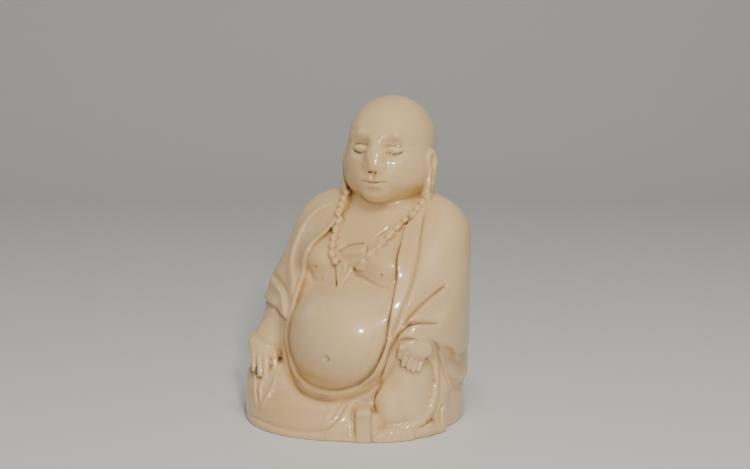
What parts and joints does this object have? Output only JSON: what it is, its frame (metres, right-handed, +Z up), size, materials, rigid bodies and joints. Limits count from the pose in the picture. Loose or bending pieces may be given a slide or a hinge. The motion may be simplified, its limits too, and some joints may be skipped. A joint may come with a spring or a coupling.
{
  "type": "seated figure carving",
  "caption": "Ivory carving of a seated, pot-bellied monk in an open robe with a bead necklace, cut in one piece with a flat oval underside.",
  "frame": {"origin": "centre of the oval underside, on the surface it stands on", "axes": "+Z up, the figure faces -Y, +X is its left side"},
  "size_m": [0.0604, 0.0574, 0.087],
  "materials": {
    "ivory": "polished old ivory, warm cream, brown in the cuts"
  },
  "bodies": {
    "root": {"figure": "ivory"}
  },
  "joints": []
}
